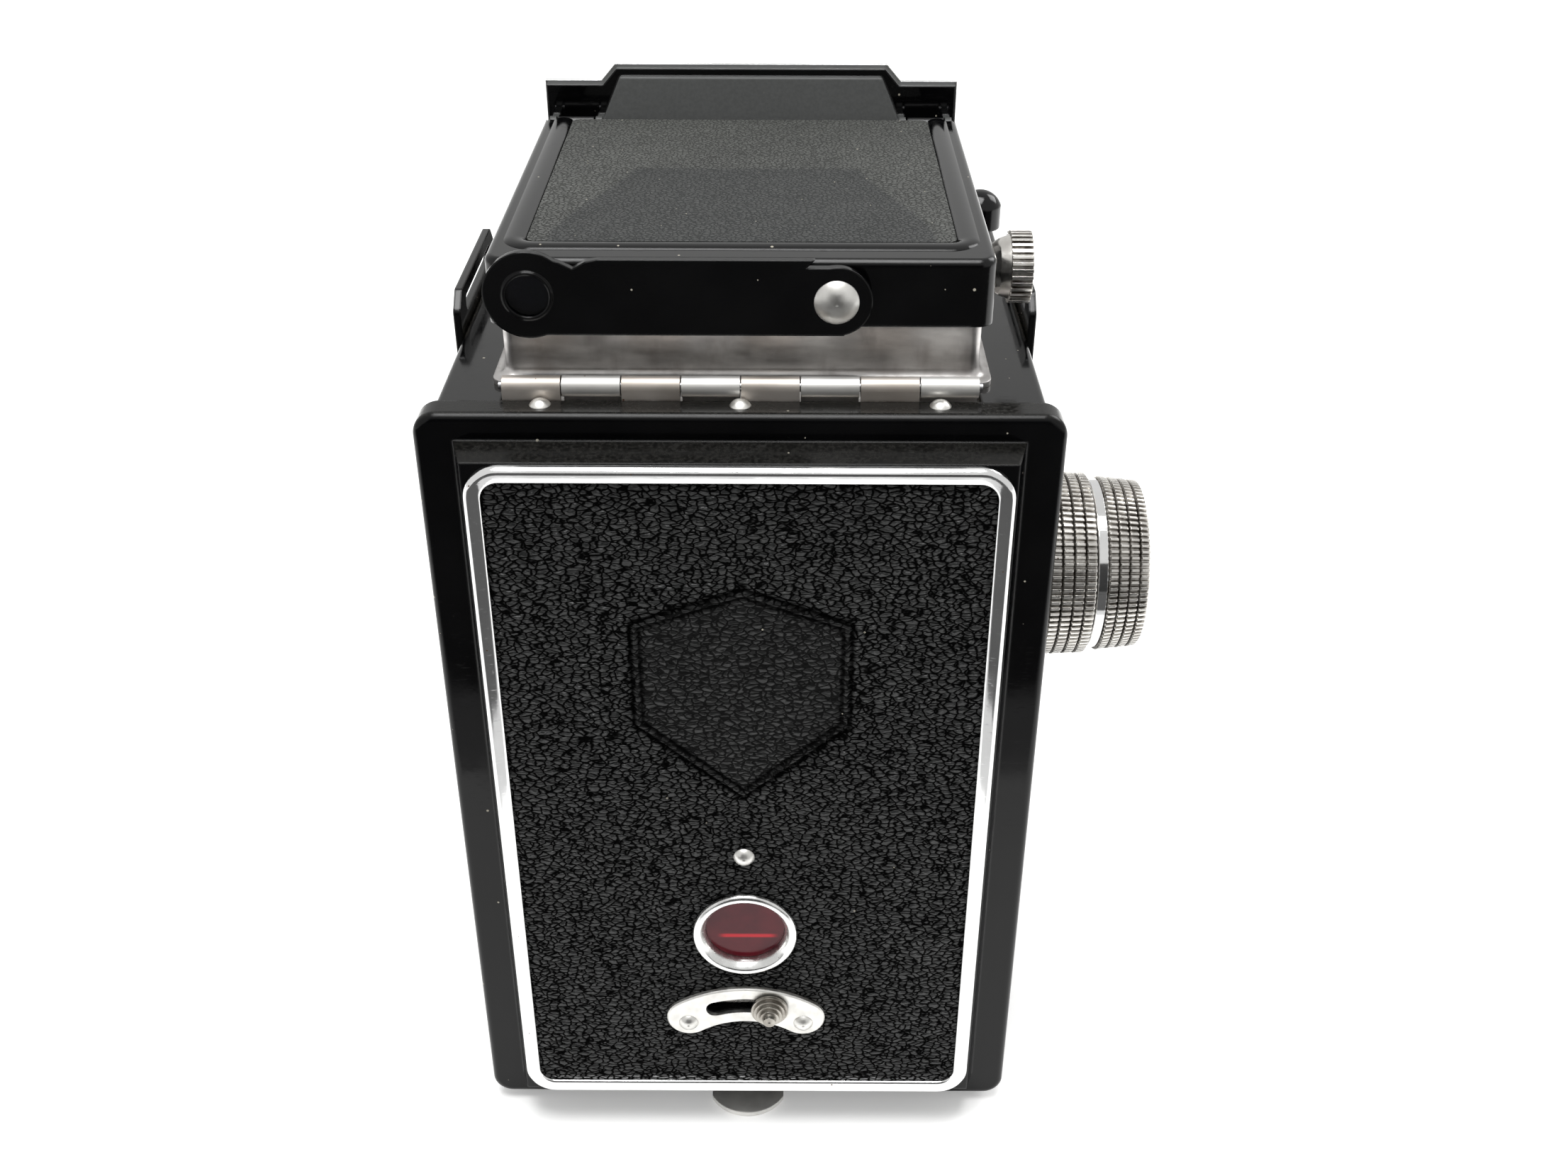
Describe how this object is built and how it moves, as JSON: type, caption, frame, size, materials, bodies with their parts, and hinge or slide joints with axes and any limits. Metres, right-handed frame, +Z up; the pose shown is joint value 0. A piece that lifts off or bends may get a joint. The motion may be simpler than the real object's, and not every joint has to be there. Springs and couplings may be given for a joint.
{
  "type": "twin lens reflex camera",
  "caption": "Box-shaped roll film camera with paired front lenses, folding waist-level hood, hinged leather-covered film door and coaxial side knobs.",
  "frame": {"origin": "mouth of the tripod socket, at the centre of the base, on the plane the camera stands on", "axes": "+Z up; the lenses look along -Y and the film door faces +Y; the winding knob is on the -X side"},
  "size_m": [0.0962, 0.1125, 0.1418],
  "materials": {
    "black_enamel": "gloss black stove enamel",
    "matt_black": "matt anti-reflection black",
    "leather": "black pebbled leather",
    "chrome": "polished",
    "nickel": "worn bright plating",
    "steel": "plain",
    "satin_alloy": "satin, grey",
    "red_glass": "dark red",
    "clear_glass": "coated",
    "ground_glass": "ground",
    "mirror_silver": "front silvered"
  },
  "bodies": {
    "case": {"body_shell": "black_enamel", "base_plate": "black_enamel", "tripod_bush": "nickel", "inner_frame": "matt_black", "finder_mirror": "mirror_silver", "mirror_carrier": "matt_black", "screen_frame": "matt_black", "ground_glass": "ground_glass", "hood_base": "satin_alloy", "hood_front": "black_enamel", "front_escutcheon": "chrome", "lid_hinge_pins": "steel", "flap_pins": "steel", "body_hinge_leaf": "nickel", "hinge_pin": "steel", "lens_collar": "matt_black", "leather_left": "leather", "leather_right": "leather", "strap_lug_left": "black_enamel", "strap_lug_right": "black_enamel"},
    "flap_left": {"hood_flap_left": "black_enamel"},
    "flap_right": {"hood_flap_right": "black_enamel"},
    "door": {"door_shell": "black_enamel", "door_bezel": "chrome", "door_leather": "leather", "window_ring": "nickel", "window_glass": "red_glass", "slot_plate": "nickel", "door_rivets": "nickel", "pressure_plate": "matt_black", "pressure_spring": "steel", "door_hinge_leaf": "nickel"},
    "window_shutter": {"window_blade": "matt_black", "window_knob": "nickel"},
    "latch": {"latch_slide": "nickel"},
    "lid": {"hood_lid": "black_enamel", "lid_leather": "leather", "arm_pivot": "chrome"},
    "arm": {"sight_arm": "black_enamel", "sight_lens": "clear_glass"},
    "catch": {"catch_knob": "nickel"},
    "focus": {"focus_knob": "nickel"},
    "wind": {"wind_knob": "nickel", "wind_shaft": "steel", "takeup_spool": "matt_black"},
    "roller_low": {"roller_lower": "nickel"},
    "roller_high": {"roller_upper": "nickel"},
    "spool_pin_upper": {"spool_knob_upper": "nickel"},
    "spool_pin_lower": {"spool_knob_lower": "nickel"},
    "release": {"release_button": "black_enamel"},
    "lens_unit": {"lens_board": "black_enamel", "shutter_housing": "black_enamel", "taking_cell": "chrome", "taking_glass": "clear_glass", "viewing_barrel": "chrome", "viewing_glass": "clear_glass"},
    "aperture": {"aperture_lever": "nickel"},
    "cocking": {"cocking_lever": "nickel"},
    "trip": {"shutter_lever": "nickel"},
    "speed": {"speed_ring": "nickel"}
  },
  "joints": [
    {"name": "door_hinge", "type": "hinge", "parent": "case", "child": "door", "pos_m": [0, 0.0334, 0.1208], "axis": [1, 0, 0], "range_deg": [0, 105]},
    {"name": "window_shutter_swing", "type": "hinge", "parent": "door", "child": "window_shutter", "pos_m": [0, 0.0406, 0.0111], "axis": [0, 1, 0], "range_deg": [-3, 29]},
    {"name": "latch_pull", "type": "slide", "parent": "case", "child": "latch", "axis": [0, 1, 0], "range_m": [0, 0.0025], "stiffness_N_per_m": 300},
    {"name": "lid_hinge", "type": "hinge", "parent": "case", "child": "lid", "pos_m": [0, -0.0334, 0.1342], "axis": [1, 0, 0], "range_deg": [0, 90]},
    {"name": "arm_swing", "type": "hinge", "parent": "lid", "child": "arm", "pos_m": [-0.0117, 0.0305, 0.1309], "axis": [0, 1, 0], "range_deg": [0, 72]},
    {"name": "flap_left_hinge", "type": "hinge", "parent": "case", "child": "flap_left", "pos_m": [0.0283, 0, 0.1257], "axis": [0, 1, 0], "range_deg": [0, 81]},
    {"name": "flap_right_hinge", "type": "hinge", "parent": "case", "child": "flap_right", "pos_m": [-0.0283, 0, 0.1257], "axis": [0, -1, 0], "range_deg": [0, 81]},
    {"name": "catch_turn", "type": "hinge", "parent": "lid", "child": "catch", "pos_m": [-0.0355, 0.017, 0.1303], "axis": [1, 0, 0], "range_deg": [0, 90]},
    {"name": "focus_turn", "type": "hinge", "parent": "case", "child": "focus", "pos_m": [-0.043, 0.022, 0.0891], "axis": [-1, 0, 0], "range_deg": [0, 270]},
    {"name": "lens_slide", "type": "slide", "parent": "case", "child": "lens_unit", "axis": [0, -1, 0], "range_m": [0, 0.004]},
    {"name": "wind_turn", "type": "hinge", "parent": "case", "child": "wind", "pos_m": [-0.05, 0.022, 0.0891], "axis": [-1, 0, 0], "continuous": true},
    {"name": "roller_lower_turn", "type": "hinge", "parent": "case", "child": "roller_low", "pos_m": [0, 0.0347, 0.0173], "axis": [1, 0, 0], "continuous": true},
    {"name": "roller_upper_turn", "type": "hinge", "parent": "case", "child": "roller_high", "pos_m": [0, 0.0347, 0.0812], "axis": [1, 0, 0], "continuous": true},
    {"name": "spool_pin_upper_pull", "type": "slide", "parent": "case", "child": "spool_pin_upper", "axis": [1, 0, 0], "range_m": [0, 0.0045], "stiffness_N_per_m": 250},
    {"name": "spool_pin_lower_pull", "type": "slide", "parent": "case", "child": "spool_pin_lower", "axis": [1, 0, 0], "range_m": [0, 0.0045], "stiffness_N_per_m": 250},
    {"name": "release_press", "type": "slide", "parent": "case", "child": "release", "axis": [0, 0, -1], "range_m": [0, 0.0018], "stiffness_N_per_m": 500},
    {"name": "aperture_set", "type": "hinge", "parent": "lens_unit", "child": "aperture", "pos_m": [0, -0.0557, 0.05], "axis": [0, 1, 0], "range_deg": [0, 50]},
    {"name": "shutter_cock", "type": "hinge", "parent": "lens_unit", "child": "cocking", "pos_m": [0, -0.0569, 0.05], "axis": [0, 1, 0], "range_deg": [0, 35], "stiffness_Nm_per_rad": 0.02},
    {"name": "shutter_trip", "type": "hinge", "parent": "lens_unit", "child": "trip", "pos_m": [0, -0.0581, 0.05], "axis": [0, 1, 0], "range_deg": [0, 15], "stiffness_Nm_per_rad": 0.02},
    {"name": "speed_set", "type": "hinge", "parent": "lens_unit", "child": "speed", "pos_m": [0, -0.06, 0.05], "axis": [0, 1, 0], "range_deg": [-60, 60]}
  ],
  "couplings": [
    {"joint": "arm_swing", "follows": "lid_hinge", "ratio": 0.8},
    {"joint": "flap_left_hinge", "follows": "lid_hinge", "ratio": 0.9},
    {"joint": "flap_right_hinge", "follows": "lid_hinge", "ratio": 0.9},
    {"joint": "focus_turn", "follows": "lens_slide", "rad_per_m": 1178.1}
  ]
}
